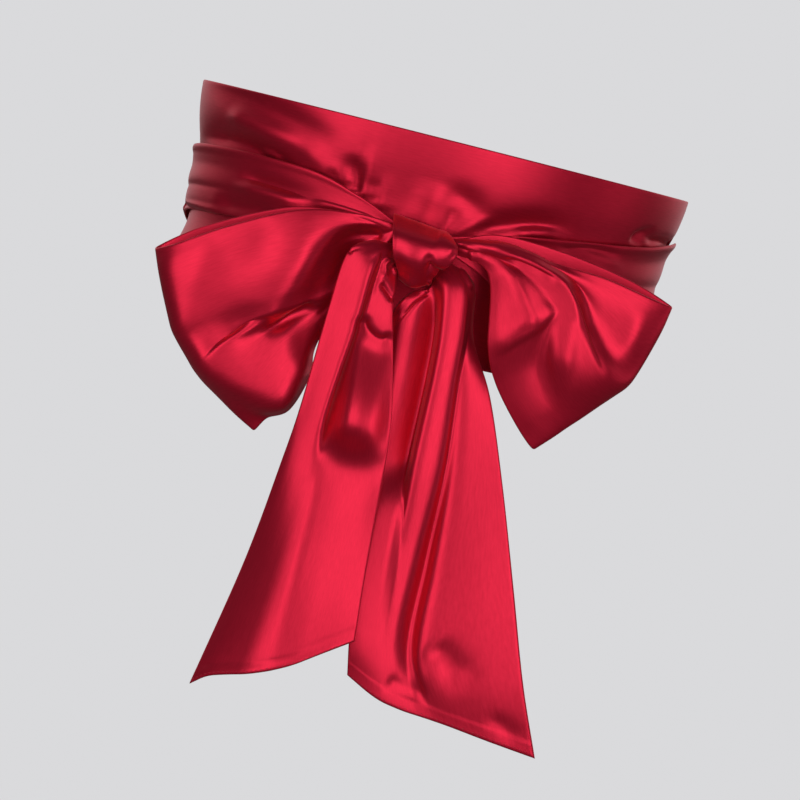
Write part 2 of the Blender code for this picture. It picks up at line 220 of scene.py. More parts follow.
LEFT_WRAP_CREASES = (
    # path, left, right, height, start, end
    (((-90, 9.5), (-70, 9), (-40, 6.8)), 4.0, 1.4, -2.2, 0.3, 0.6),
    (((-92, 5.6), (-72, 4.8), (-54, 3.6)), 2.2, 4.0, 1.9, 0.3, 0.3),
    (((-98, -4), (-84, -4), (-66, -3)), 4.0, 4.0, -2.2, 0.3, 0.3),
    (((-54, 7.2), (-36, 6.8), (-15, 5.2)), 0.8, 2.6, 0.8, 0.2, 0.1),
    (((-118, -8), (-104, -10), (-84, -11)), 0.9, 2.0, -1.8, 0.05, 0.4),
)
RIGHT_WRAP_CREASES = (
    # path, left, right, height, start, end
    (((14, 7.2), (40, 13.6), (70, 20), (112, 28)), 0.8, 2.0, 0.5, 0.1, 0.2),
    (((20, 8.6), (34, 12.2), (56, 14.6)), 1.0, 1.6, -1.2, 0.2, 0.4),
    (((62, 12), (78, 17), (94, 18.5)), 2.4, 4.0, -1.8, 0.3, 0.4),
    (((66, 14.5), (80, 14), (96, 12)), 2.4, 2.4, 0.9, 0.3, 0.3),
)

# The knot: a row for each line along it, going round from its top.
KNOT = (
    # left x, left y, left z, middle x, middle y, middle z, right x, right y, right z
    (-15.0, -104.0, 9.8, -2, -106.0, 8.6, 11.0, -104.0, 7.2),
    (-14.2, -112.5, 6.5, -1, -115.5, 5.5, 14.5, -112.5, 5.2),
    (-12.8, -120.6, 0.6, 1, -123.4, 0.2, 18.6, -119.8, 0),
    (-10.4, -121.4, -7.2, 1, -124.8, -8.0, 17.0, -120.0, -5.8),
    (-6.8, -115.8, -14.0, 2, -118.8, -15.4, 11.4, -115.2, -12.8),
    (-5.3, -110.0, -18.4, 2, -112.4, -20.8, 9.0, -109.6, -17.6),
    (-8.0, -100.0, -13.0, 2, -100.0, -15.5, 9.5, -100.0, -12.5),
    (-12.0, -96.6, -4.0, 1, -96.2, -5.0, 13.0, -96.6, -4.0),
    (-14.3, -98.0, 6.0, 0, -98.0, 5.0, 12.0, -98.0, 4.4),
)
KNOT_CREASES = (
    # path, left, right, height, start, end
    (((7, 5), (12, 3.5), (18, -1)), 3.0, 3.4, 1.5, 0.3, 0.2),
    (((5, -3), (7.2, -6), (7.5, -10), (6, -15)), 1.2, 2.6, -1.3, 0.3, 0.3),
    (((7, -7), (10, -10), (15, -11)), 1.6, 1.4, -1.8, 0.3, 0.2),
    (((-14.5, 8.5), (-11.5, -4), (-6.5, -17)), 1.0, 1.2, 0.6, 0.1, 0.1),
    (((8, -15), (9.2, -16.5), (10, -18)), 0.9, 0.9, 1.0, 0.3, 0.3),
)

# The bow: each face of a loop and each tail has one row for each fold, from its upper or outer edge,
# and one point (x, y, z) for each stage from the knot to the end.
LEFT_LOOP_FRONT = (
    ("upper edge", (-12.6, -110, 5.7), (-31, -112.8, 6.2), (-57, -117.5, 1.6), (-88, -116, -14),
     (-111, -112.5, -28.8), (-119, -103.5, -32)),
    ("upper ridge", (-12.5, -110.5, 4.6), (-31, -113.4, 3.6), (-55, -119.2, -3), (-86.5, -118, -20.5),
     (-110, -114.5, -37.5), (-115, -104, -40.5)),
    ("crescent", (-12.4, -110.8, 3.6), (-31, -113.6, 0.6), (-53, -122, -13), (-84.5, -119.5, -31),
     (-106, -115.5, -47.5), (-110.5, -104.5, -50)),
    ("hollow", (-12.3, -110.9, 2.9), (-31, -105.5, -8.5), (-51, -123.5, -24), (-82.5, -120, -42),
     (-102, -116, -56.5), (-106, -104.5, -59)),
    ("fold face", (-12.3, -110.9, 2.1), (-31, -105.5, -19), (-53, -122.5, -36), (-80.5, -119.4, -50),
     (-98.5, -116, -64), (-102, -104.5, -67)),
    ("side valley", (-12.2, -110.7, 1.4), (-31, -107.6, -25.5), (-55.5, -121.5, -43),
     (-79.5, -118.6, -57.5), (-94, -115.3, -69.5), (-97.5, -104.3, -72.5)),
    ("fold edge", (-12.2, -110.5, 0.7), (-31, -109.5, -30.5), (-57.5, -121, -48.5), (-77, -120.4, -64),
     (-88, -117, -75), (-92.5, -104.5, -78)),
    ("under fold", (-12.1, -110.2, -0.1), (-32.5, -108.4, -35.5), (-55, -113.5, -51), (-73, -120, -69),
     (-84.5, -117.5, -80), (-88, -104.5, -82.5)),
    ("lower puff", (-12.05, -109.7, -0.9), (-36, -107.9, -41.2), (-52.5, -115.5, -58), (-67.5, -120, -77),
     (-79.5, -117.5, -84), (-82, -104.5, -87.5)),
    ("lower face", (-12, -109.2, -1.6), (-36, -107.8, -46.5), (-48.5, -116.8, -67), (-58, -119.8, -84),
     (-70, -116.5, -88.8), (-75, -104.5, -92)),
    ("bottom corner", (-12, -108.6, -2.4), (-35, -107, -50.5), (-38.8, -116.4, -75), (-43, -118, -89.3),
     (-57, -111.5, -96), (-64, -104.5, -99)),
    ("curled edge", (-12, -108, -3.2), (-34, -105.5, -54), (-34.5, -106.3, -73), (-40, -108, -91),
     (-49, -106.5, -97.5), (-54, -104, -104.5)),
)
LEFT_LOOP_BACK = (
    ("upper edge", (-99, -98.5, -16.8), (-62, -97.5, 1.5), (-32, -99.6, 5), (-14, -105.5, 4)),
    ("middle", (-84, -98, -58), (-58, -96.5, -36), (-34, -98.5, -18), (-14, -105.5, 1)),
    ("lower edge", (-52, -99, -86), (-42, -98, -60), (-31, -98.5, -30), (-14, -105.5, -2.2)),
)
LEFT_LOOP_CREASES = (
    # path, left, right, height, start, end
    (((-17, -1.4), (-28, -3.4), (-40, -10)), 1.4, 4.0, -1.6, 0.1, 0.4),
    (((-40, -38), (-50, -48), (-62, -60)), 4.0, 1.4, -2.6, 0.2, 0.4),
    (((-56, -48.5), (-68, -57), (-79, -67), (-86, -79)), 1.2, 7.0, -3.6, 0.4, 0.5),
    (((-90, -22), (-96, -36), (-93, -52)), 7.0, 7.0, 0.8, 0.4, 0.4),
    (((-66, -6), (-70, -18), (-68, -32)), 7.0, 8.0, -0.8, 0.4, 0.4),
    (((-34, 4.6), (-25, 4.2), (-15, 2.8)), 0.8, 1.4, -0.5, 0.3, 0.1),
)
RIGHT_LOOP_FRONT = (
    ("upper edge", (13.2, -108.2, 5.2), (36, -112.5, 9), (62, -113, 6.2), (88, -111.5, 5.2),
     (112, -109, 1.2), (122, -103.5, 0)),
    ("outer face", (13.35, -108.8, 4.5), (37, -115, 8), (67, -114.8, 4), (94, -112.8, -4),
     (112, -111.5, -12), (120, -104, -12)),
    ("valley", (13.5, -109.4, 3.9), (38, -117, 6.8), (73, -114, 1), (90, -112, -17), (104, -111.3, -31),
     (115.5, -104, -30)),
    ("long ridge", (13.7, -109.9, 3.4), (39, -118.5, 5.2), (71.5, -120.5, -1.5), (85.5, -120.6, -20.5),
     (102, -116, -38), (112, -104.5, -40)),
    ("behind ridge", (13.8, -110, 2.9), (40, -118, 3.2), (68, -119.6, -6), (82, -120.2, -29),
     (95, -115, -45.5), (106.5, -104.5, -46.5)),
    ("side ridge", (14, -110, 2.2), (41, -117, 1.4), (66.5, -119.6, -11), (76, -120.4, -37),
     (88, -113.5, -52), (100.5, -104.5, -53.5)),
    ("dark side", (14.1, -110, 1.6), (41, -117.8, 0), (64, -121, -16), (70, -114, -41.5), (82, -111, -59),
     (94.5, -104.5, -60.5)),
    ("peak", (14.3, -110, 1), (40, -118.2, -2), (58, -122.6, -21.5), (61.5, -114.3, -46), (76, -110.5, -64),
     (89, -104.5, -66.5)),
    ("bright face", (14.4, -109.7, 0.2), (38, -117.2, -4), (48, -119.2, -31.5), (56, -112.8, -51.5),
     (71.5, -109.5, -69), (83, -104.5, -73.5)),
    ("inner edge", (14.6, -109, -0.8), (34.5, -115, -6), (43, -116, -39), (51, -110.5, -55.5),
     (66, -107.5, -73), (76, -104, -81)),
)
RIGHT_LOOP_BACK = (
    ("upper edge", (100, -98.5, 7), (66, -97, 12), (35, -99.8, 12.3), (14.5, -105.5, 4.2)),
    ("middle", (96, -98, -30), (68, -96.5, -14), (42, -98.8, -3), (14.5, -105.5, 1.6)),
    ("inner edge", (67, -99, -65), (52, -97.5, -42), (40, -98.5, -14), (14.5, -105.5, -1.0)),
)
RIGHT_LOOP_CREASES = (
    # path, left, right, height, start, end
    (((30, 7), (46, 8.4), (62, 5)), 2.0, 3.0, 1.0, 0.2, 0.3),
    (((38, 2.2), (50, 3.4), (60, 1), (68, -1)), 1.0, 3.0, -1.6, 0.2, 0.3),
    (((44, 0), (50, -9), (57, -19), (62, -25)), 2.6, 6.0, 0.8, 0.2, 0.2),
    (((45, -43), (54, -33), (62, -25), (66, -19), (70, -13)), 6.0, 2.0, 1.4, 0.2, 0.2),
    (((76, -14), (79, -28), (82, -46)), 4.0, 5.0, 0.8, 0.2, 0.3),
    (((70, 1), (80, -9), (90, -25), (99, -38)), 4.0, 1.0, -1.6, 0.3, 0.3),
    (((107, -2), (107.5, -16), (107, -34)), 5.0, 5.0, 0.6, 0.4, 0.4),
    (((24, 2.5), (26, 0.5), (26.5, -3)), 1.4, 1.2, 1.2, 0.3, 0.3),
    (((20, 3.6), (27, 3.4), (30.5, 0)), 0.9, 0.9, 0.7, 0.2, 0.3),
)
LEFT_TAIL = (
    ("outer edge", (-11.5, -113, -3.4), (-22.5, -116, -5.4), (-31.3, -119.8, -13), (-33.5, -120.7, -40),
     (-35, -121, -86), (-37.3, -118.8, -114), (-43, -113, -165), (-54, -113, -228)),
    ("strip side", (-11.4, -113.6, -4), (-21.3, -119, -7), (-29.5, -121, -15), (-31, -121.5, -40),
     (-32.7, -122, -86), (-34, -121.3, -114), (-38, -117.6, -164), (-47, -118.5, -221.5)),
    ("strip", (-11.2, -114.5, -4.8), (-18.8, -121, -9.5), (-25, -123, -17.5), (-26, -123.5, -41),
     (-28.5, -124, -86), (-29.5, -123.5, -114), (-32, -122.6, -163), (-38, -124.5, -217.8)),
    ("strip edge", (-11, -115, -5.8), (-16, -120.5, -12), (-18.2, -125, -20), (-19, -126, -43),
     (-22.3, -126.5, -86), (-23, -125.9, -113.5), (-25.5, -127.2, -162), (-29, -130.3, -214.6)),
    ("tuck", (-10.8, -114.5, -6.6), (-14.3, -118, -13), (-16.4, -119.8, -22), (-17.6, -120, -44),
     (-20.6, -117, -86), (-18, -126.4, -113), (-18, -130.6, -160.5), (-19, -134, -210.1)),
    ("bowl", (-10.6, -114, -7.3), (-12.5, -117, -15), (-12.5, -118.6, -26), (-14, -118.6, -46),
     (-14, -110.3, -87), (-10, -125.4, -112.5), (-9, -129.8, -159), (-9, -134.8, -204.7)),
    ("middle", (-10.5, -113, -8.2), (-10.4, -116, -17), (-8.7, -117.9, -29), (-9, -117.8, -48),
     (-7, -108.8, -87), (-3, -124.2, -112), (-1, -128.5, -158), (0, -133.6, -198.3)),
    ("inner side", (-10.1, -112.4, -9.2), (-8.6, -115, -18.8), (-6, -117.4, -31), (-4, -117.1, -47.5),
     (0, -109.8, -86), (4, -122.7, -111.5), (7, -127.2, -157), (8.5, -132.4, -192.4)),
    ("inner edge", (-9.4, -111.4, -10.6), (-6.3, -113.4, -19.4), (-4.2, -117, -33), (-0.5, -116.6, -47),
     (7.5, -114.6, -82), (10.8, -121, -111), (13.8, -125.8, -156), (16.5, -130.8, -187)),
)
LEFT_TAIL_CREASES = (
    # path, left, right, height, start, end
    (((-31, -13), (-28, -10.5), (-23, -8)), 1.2, 0.9, -0.7, 0.2, 0.6),
    (((-31, -12), (-25, -7.5), (-16, -1.5)), 1.2, 2.0, 0.8, 0.2, 0.2),
    (((-11, -10), (-13, -14), (-11, -20)), 1.0, 1.0, 1.2, 0.2, 0.3),
    (((-8, -12), (-8.5, -15), (-6, -18)), 0.9, 0.9, 0.9, 0.3, 0.3),
    (((-15.5, -8), (-15, -16), (-16, -34)), 1.6, 0.8, -1.0, 0.2, 0.3),
    (((-13, -22), (-8, -26), (-4, -30)), 1.4, 1.8, -1.5, 0.2, 0.3),
    (((-17, -38), (-13, -45), (-6, -48), (0, -44)), 2.0, 4.0, -2.2, 0.2, 0.2),
    (((-52, -218), (-40, -213), (-24, -209), (-8, -202), (8, -191)), 1.4, 1.4, -0.5, 0.1, 0.3),
)
RIGHT_TAIL = (
    ("hidden edge", (3.4, -106, -24), (-2.2, -107.5, -30), (-4, -107, -38), (-4, -105, -60),
     (0, -105, -100), (6, -120.3, -134), (13, -124, -183), (17, -121, -204.5)),
    ("pleat", (6, -107, -23), (2, -110.5, -28.5), (1, -111, -39), (2, -109.6, -60), (7, -109.3, -100),
     (11.3, -120.4, -132), (17.5, -123.8, -183), (22, -121.4, -207)),
    ("pleat side", (7.8, -107.2, -21.8), (7, -110, -26.3), (8, -109.8, -38.5), (9.5, -108.2, -60),
     (13, -107, -99), (16, -120, -129), (21.5, -123.3, -183.5), (26, -121.6, -209)),
    ("hollow", (9.6, -107.1, -20.2), (13.6, -106.2, -24), (17.3, -103.4, -38), (19.4, -102.3, -60),
     (20.9, -103.8, -98), (20.3, -119.4, -125.5), (25, -122.8, -184), (30, -121.8, -210.8)),
    ("strip side", (10.9, -107, -16.5), (14.6, -110.6, -20.6), (18.5, -111.5, -38), (20.3, -112.6, -60),
     (21.4, -114.6, -98), (23.8, -119.2, -130), (28.5, -122.3, -184.5), (34, -121.8, -212.3)),
    ("strip left", (11.3, -108.3, -13), (16.8, -115, -18), (20, -118.4, -37), (21.8, -119.7, -60),
     (23.2, -121.2, -100), (27.5, -119.4, -143), (31, -121.8, -185), (38, -121.8, -213.3)),
    ("strip right", (13, -109, -8.5), (25.3, -113.7, -15.6), (30, -116.8, -35), (31.6, -118.2, -60),
     (35, -119.3, -100), (34.5, -118.4, -145), (36, -120.8, -185.5), (47, -121.5, -214.7)),
    ("trough", (13.6, -108.2, -6.9), (27.2, -110.9, -14.7), (31.9, -112.6, -35.7), (33.8, -113.8, -60),
     (38, -114.6, -100), (40.5, -112.6, -145), (43, -116.6, -186), (56, -121.5, -215.2)),
    ("ridge", (13.8, -107.6, -6), (28.1, -109.3, -14.1), (33.2, -111.4, -36.3), (38, -114.8, -61),
     (43.5, -118, -101), (45, -120.4, -146), (49, -124.2, -188), (68, -122.6, -216)),
    ("outer face", (14.1, -107, -5.2), (28.9, -107.5, -13.5), (34.3, -109.6, -36.8), (44.5, -114, -61.5),
     (56.5, -117.4, -101), (64, -121, -147), (75, -125, -189), (89, -122.6, -218.6)),
    ("outer edge", (14.2, -106.5, -4.8), (29.6, -105.8, -13), (35.2, -107.2, -37), (50, -112.8, -62),
     (66, -117, -101), (83, -120, -147), (97.5, -124.5, -187), (112, -121.5, -221)),
)
RIGHT_TAIL_CREASES = (
    # path, left, right, height, start, end
    (((10, -20), (3, -25), (-4, -36)), 0.9, 1.0, 1.3, 0.1, 0.3),
    (((10, -21.5), (5, -28), (-1, -39)), 0.9, 1.2, -1.2, 0.1, 0.3),
    (((21, -6.5), (25, -10.5), (29.5, -15.5)), 1.2, 1.0, 1.0, 0.2, 0.2),
    (((50, -180), (62, -187), (76, -199)), 7.0, 8.0, -2.4, 0.3, 0.4),
    (((34, -201), (44, -204), (58, -206)), 4.0, 5.0, -1.2, 0.3, 0.3),
    (((84, -208), (94, -210), (103, -216)), 4.0, 4.0, -0.7, 0.3, 0.3),
)


def through(rows, at, cyclic=False):
    """Points on a smooth curve through rows, along their first axis, at shares of its length from 0 to 1."""
    rows = np.asarray(rows, float)
    spans = len(rows) if cyclic else len(rows) - 1
    if cyclic:
        padded = np.concatenate([rows[-1:], rows, rows[:2]])
    else:
        padded = np.concatenate([2 * rows[:1] - rows[1:2], rows, 2 * rows[-1:] - rows[-2:-1]])
    at = np.asarray(at, float) * spans
    k = np.minimum(at.astype(int), spans - 1)
    f = (at - k).reshape(-1, *[1] * (rows.ndim - 1))
    p0, p1, p2, p3 = (padded[k + step] for step in range(4))
    bend = (2 * p0 - 5 * p1 + 4 * p2 - p3) * f**2 + (3 * p1 - p0 - 3 * p2 + p3) * f**3
    return 0.5 * (2 * p1 + (p2 - p0) * f + bend)


def smooth_step(value):
    """0 below 0, 1 above 1 and a soft change between."""
    value = np.clip(value, 0, 1)
    return value * value * (3 - 2 * value)


def shares(count, length):
    """Shares from 0 to 1, crowded at both ends where an edge of a strip that long turns over."""
    edge = EDGE_ROUND / length
    turn = edge * np.array([0, 0.15, 0.45])
    return np.concatenate([turn, np.linspace(edge, 1 - edge, count), 1 - turn[::-1]])


def folded(rows, at):
    """Points on flat faces between rows, with a rounded fold at each row, at shares from 0 to 1."""
    rows = np.asarray(rows, float)
    padded = np.concatenate([2 * rows[:1] - rows[1:2], rows, 2 * rows[-1:] - rows[-2:-1]])
    sums = np.concatenate([0 * padded[:1], np.cumsum((padded[1:] + padded[:-1]) / 2, axis=0)])

    def summed(place):
        k = np.minimum(place.astype(int), len(padded) - 2)
        f = (place - k).reshape(-1, *[1] * (rows.ndim - 1))
        return sums[k] + padded[k] * f + (padded[k + 1] - padded[k]) * f * f / 2

    middle = np.asarray(at, float) * (len(rows) - 1) + 1
    return (summed(middle + FOLD_ROUND) - summed(middle - FOLD_ROUND)) / (2 * FOLD_ROUND)


def across_folds(folds, at):
    """Points across the cloth at each stage of a table of folds, as stages by points by x, y, z."""
    return folded([fold[1:] for fold in folds], at).transpose(1, 0, 2)


def waist_half_width(height):
    """Half the width of the worn waist at a height, softly changing."""
    near = np.linspace(-WAIST_SOFTNESS, WAIST_SOFTNESS, 9)
    return sum(np.interp(height + step, WAIST_HEIGHT, WAIST_HALF_WIDTH) for step in near) / len(near)


def waist_point(angle, height, lift=0.0):
    """A point on the worn waist, or standing off it, at an angle in radians round from the front."""
    across = waist_half_width(height) + lift
    deep = waist_half_width(height) * WAIST_DEPTH + lift
    return np.stack([across * np.sin(angle), -deep * np.cos(angle), height], axis=-1)


def normals(grid, cyclic=False):
    """The direction square to the cloth at each point of a grid."""
    along = np.gradient(grid, axis=0)
    if cyclic:
        across = np.roll(grid, -1, axis=1) - np.roll(grid, 1, axis=1)
    else:
        across = np.gradient(grid, axis=1)
    normal = np.cross(along, across)
    return normal / np.maximum(np.linalg.norm(normal, axis=-1, keepdims=True), 1e-9)


def as_seen(points):
    """Where the camera sees each point, as (x, z) at the depth of the bow."""
    nearer = (BOW_DEPTH - CAMERA_PLACE[1]) / (points[..., 1] - CAMERA_PLACE[1])
    centre = np.array([CAMERA_PLACE[0], CAMERA_PLACE[2]])
    return centre + (points[..., [0, 2]] - centre) * nearer[..., None]


def crease_lift(points, creases):
    """How far the creases raise each point, by where it is seen from the front."""
    shape = points.shape[:-1]
    flat = as_seen(points).reshape(-1, 1, 2)
    lift = np.zeros(len(flat))
    for path, left, right, height, lead_in, lead_out in creases:
        line = through(path, np.linspace(0, 1, CREASE_STEPS))
        run = np.diff(line, axis=0)
        away = flat - line[:-1]
        share = np.clip((away * run).sum(-1) / (run**2).sum(-1), 0, 1)
        gap = np.linalg.norm(away - share[..., None] * run, axis=-1)
        nearest = gap.argmin(axis=1)
        pick = (np.arange(len(flat)), nearest)
        side = run[nearest, 0] * away[pick][:, 1] - run[nearest, 1] * away[pick][:, 0]
        width = np.where(side > 0, left, right)
        along = (nearest + share[pick]) / len(run)
        fade = smooth_step(along / lead_in) * smooth_step((1 - along) / lead_out)
        lift += height * fade * np.exp(-((gap[pick] / width) ** 2))
    return lift.reshape(shape)


def press_creases(grid, creases, facing=None):
    """Raises creases in the face of a piece of cloth that looks forward."""
    normal = normals(grid)
    towards = np.sign(-normal[..., 1:2])
    shown = smooth_step((np.abs(normal[..., 1:2]) - CREASE_FACING[0]) / CREASE_FACING[1])
    if facing is not None:
        shown = shown * facing[:, None, None]
    return grid + normal * towards * shown * crease_lift(grid, creases)[..., None]


def lengths(grid, axis):
    """The distance along each line of a grid, from its start."""
    step = np.linalg.norm(np.diff(grid, axis=axis), axis=-1)
    run = np.cumsum(step, axis=axis)
    start = np.zeros_like(run[:1] if axis == 0 else run[:, :1])
    return np.concatenate([start, run], axis=axis)


def cloth(name, grid, material, wall=CLOTH_WALL, cyclic=False, hem=False):
    """A closed cloth wall round a grid of points, with rounded edges and a UV map in metres of cloth."""
    rows, columns = grid.shape[:2]
    normal = normals(grid, cyclic)
    down, over = lengths(grid, 0), lengths(grid, 1)
    edge = np.minimum(down, down[-1:] - down)
    if not cyclic:
        edge = np.minimum(edge, np.minimum(over, over[:, -1:] - over))
    turned = 1 - np.clip(edge / EDGE_ROUND, 0, 1)
    half = wall / 2 * np.sqrt(np.maximum(1 - turned**2, EDGE_LEAST))
    if hem:
        inside_hem = smooth_step((HEM_ALLOWANCE - (down[-1:] - down)) / HEM_STEP)
        half = half + HEM_RISE * inside_hem * (1 - turned)
    outer = grid + normal * half[..., None]
    inner = grid - normal * half[..., None]

    spans = columns if cyclic else columns - 1
    wide = spans + 1
    at = np.arange(rows * wide).reshape(rows, wide)
    quad = np.stack([at[:-1, :-1], at[1:, :-1], at[1:, 1:], at[:-1, 1:]], axis=-1).reshape(-1, 4)
    rim = [(at[0, :-1], at[0, 1:]), (at[-1, 1:], at[-1, :-1])]
    if not cyclic:
        rim += [(at[1:, 0], at[:-1, 0]), (at[:-1, -1], at[1:, -1])]
    corners = [quad, quad[:, ::-1]]
    below = [0 * quad, 0 * quad + 1]
    for first, second in rim:
        corners.append(np.stack([first, second, second, first], axis=-1))
        below.append(np.tile([0, 0, 1, 1], (len(first), 1)))
    corners = np.concatenate(corners)
    row, column = np.divmod(corners, wide)
    faces = (np.concatenate(below) * rows + row) * columns + column % columns

    mesh = bpy.data.meshes.new(name)
    points = np.concatenate([outer.reshape(-1, 3), inner.reshape(-1, 3)]) * MM
    mesh.from_pydata(points.tolist(), [], faces.tolist())
    mesh.shade_smooth()
    mesh.materials.append(material)
    uv = mesh.uv_layers.new(name="cloth")
    thread = np.stack([down.mean(axis=1)[row], column * CUT_WIDTH / spans], axis=-1)
    uv.data.foreach_set("uv", thread.ravel() * MM)
    piece = bpy.data.objects.new(name, mesh)
    bpy.context.scene.collection.objects.link(piece)
    return piece


def mixed_value(nodes, links, low, high, factor):
    """A value that a factor from 0 to 1 moves from low to high."""
    node = nodes.new("ShaderNodeMapRange")
    node.inputs["To Min"].default_value = low
    node.inputs["To Max"].default_value = high
    links.new(factor, node.inputs["Value"])
    return node.outputs["Result"]


def satin_weave_group():
    """Fine warp and weft threads, with slubs and a faint mottle, from cloth coordinates in metres."""
    group = bpy.data.node_groups.new("satin_weave", "ShaderNodeTree")
    face = group.interface
    for name, kind, value in (
        ("Coordinates", "NodeSocketVector", None),
        ("Warp Scale", "NodeSocketFloat", 900.0),
        ("Weft Scale", "NodeSocketFloat", 500.0),
        ("Mottle Scale", "NodeSocketFloat", 60.0),
    ):
        socket = face.new_socket(name=name, in_out="INPUT", socket_type=kind)
        if value is not None:
            socket.default_value = value
    for name in ("Height", "Thread", "Mottle"):
        face.new_socket(name=name, in_out="OUTPUT", socket_type="NodeSocketFloat")
    nodes, links = group.nodes, group.links
    entry = nodes.new("NodeGroupInput")
    leave = nodes.new("NodeGroupOutput")

    def threads(scale_socket, stretch):
        mapping = nodes.new("ShaderNodeMapping")
        mapping.inputs["Scale"].default_value = stretch
        links.new(entry.outputs["Coordinates"], mapping.inputs["Vector"])
        noise = nodes.new("ShaderNodeTexNoise")
        noise.inputs["Detail"].default_value = 3.0
        noise.inputs["Roughness"].default_value = 0.6
        links.new(mapping.outputs["Vector"], noise.inputs["Vector"])
        links.new(entry.outputs[scale_socket], noise.inputs["Scale"])
        return noise.outputs["Fac"]

    warp = threads("Warp Scale", (0.12, 1.0, 1.0))
    weft = threads("Weft Scale", (1.0, 0.25, 1.0))
    mottle = threads("Mottle Scale", (1.0, 1.0, 1.0))
    both = nodes.new("ShaderNodeMath")
    both.operation = "MULTIPLY_ADD"
    both.inputs[1].default_value = 0.5
    links.new(weft, both.inputs[0])
    links.new(warp, both.inputs[2])
    links.new(both.outputs[0], leave.inputs["Height"])
    links.new(warp, leave.inputs["Thread"])
    links.new(mottle, leave.inputs["Mottle"])
    return group


def satin(name, weave, finish):
    """Crimson satin: a soft metallic lustre over dark red, with the weave in its tone, gloss and relief."""
    shade, light, roughness = finish
    material = bpy.data.materials.new(name)
    material.use_nodes = True
    nodes, links = material.node_tree.nodes, material.node_tree.links
    shader = nodes["Principled BSDF"]
    cloth_map = nodes.new("ShaderNodeUVMap")
    cloth_map.uv_map = "cloth"
    threads = nodes.new("ShaderNodeGroup")
    threads.node_tree = weave
    threads.inputs["Warp Scale"].default_value = WARP_SCALE
    threads.inputs["Weft Scale"].default_value = WEFT_SCALE
    links.new(cloth_map.outputs["UV"], threads.inputs["Coordinates"])

    tone = nodes.new("ShaderNodeMix")
    tone.data_type = "RGBA"
    tone.inputs["A"].default_value = (*shade, 1.0)
    tone.inputs["B"].default_value = (*light, 1.0)
    links.new(mixed_value(nodes, links, 0.0, 1.0, threads.outputs["Thread"]), tone.inputs["Factor"])
    links.new(tone.outputs["Result"], shader.inputs["Base Color"])
    low, high = roughness - GLOSS_CHANGE, roughness + GLOSS_CHANGE
    gloss = mixed_value(nodes, links, low, high, threads.outputs["Mottle"])
    links.new(gloss, shader.inputs["Roughness"])
    relief = nodes.new("ShaderNodeBump")
    relief.inputs["Strength"].default_value = 0.12
    relief.inputs["Distance"].default_value = 0.0002
    links.new(threads.outputs["Height"], relief.inputs["Height"])
    links.new(relief.outputs["Normal"], shader.inputs["Normal"])
    shader.inputs["Metallic"].default_value = 0.80
    shader.inputs["Specular IOR Level"].default_value = 0.35
    shader.inputs["Sheen Weight"].default_value = 0.08
    shader.inputs["Sheen Roughness"].default_value = 0.35
    shader.inputs["Sheen Tint"].default_value = (1.0, 0.75, 0.8, 1.0)
    return material


def thread_material():
    """The sewing thread, a little lighter and duller than the satin."""
    material = bpy.data.materials.new("sewing_thread")
    material.use_nodes = True
    nodes, links = material.node_tree.nodes, material.node_tree.links
    shader = nodes["Principled BSDF"]
    place = nodes.new("ShaderNodeTexCoord")
    twist = nodes.new("ShaderNodeTexNoise")
    twist.inputs["Scale"].default_value = 2500.0
    links.new(place.outputs["Object"], twist.inputs["Vector"])
    tone = nodes.new("ShaderNodeMix")
    tone.data_type = "RGBA"
    tone.inputs["A"].default_value = (0.30, 0.004, 0.02, 1.0)
    tone.inputs["B"].default_value = (0.55, 0.02, 0.05, 1.0)
    links.new(twist.outputs["Fac"], tone.inputs["Factor"])
    links.new(tone.outputs["Result"], shader.inputs["Base Color"])
    shader.inputs["Roughness"].default_value = 0.5
    return material


def front_turn(material):
    """The middle stretch, spread over the front and both sides and gathered up towards the back."""
    stages = through(FRONT_TURN, shares(*TURN_ALONG))
    gap = math.degrees(BUTT_GAP / WAIST_HALF_WIDTH[-1])
    stages[:, 0] *= 1 - gap / FRONT_TURN[-1][0]
    share = shares(*TURN_ACROSS)
    angle = np.radians(stages[:, :1]) + 0 * share
    height = stages[:, 1:2] + (stages[:, 2:3] - stages[:, 1:2]) * share
    grid = waist_point(angle, height)
    creased = crease_lift(grid, (*BAND_CREASES, JOINING_SEAM)) * (grid[..., 1] < 0)
    grid = waist_point(angle, height, creased)
    return cloth("front_turn_satin", grid, material), grid


def wrap(name, table, gathers, creases, side, material):
    """An end of the sash, gathered, from the knot round its own side and across the back."""
    stages = through(table, shares(*WRAP_ALONG))
    share = shares(*WRAP_ACROSS)
    turned = stages[:, :1]
    angle = side * np.radians(turned) + 0 * share
    height = stages[:, 1:2] + (stages[:, 2:3] - stages[:, 1:2]) * share
    lift = stages[:, 3:4] + 0 * share
    for down, half_width, knot_end, beside, behind in gathers:
        rise = np.interp(turned, GATHER_ANGLES, (0, knot_end, beside, behind, behind, 0))
        lift += rise * np.exp(-(((share - down) / half_width) ** 2))
    grid = waist_point(angle, height, lift)
    clear_of_knot = smooth_step((turned - GATHER_ANGLES[0]) / WRAP_FADE)
    lift += crease_lift(grid, creases) * (grid[..., 1] < 0) * clear_of_knot
    grid = waist_point(angle, height, lift)
    return cloth(name, grid, material), grid


def loop(name, front, back, creases, material):
    """A loop of the bow: its front face, the fold at its end and its back face, in one strip."""
    at = shares(*LOOP_ACROSS)
    rows = np.concatenate([across_folds(front, at), across_folds(back, at)])
    stages = shares(*LOOP_ALONG)
    grid = through(rows, stages)
    before_fold = (len(front[0]) - 2) / (len(rows) - 1)
    facing = smooth_step((before_fold - stages) / LOOP_FADE + 1)
    grid = press_creases(grid, creases, facing)
    return cloth(name, grid, material), grid


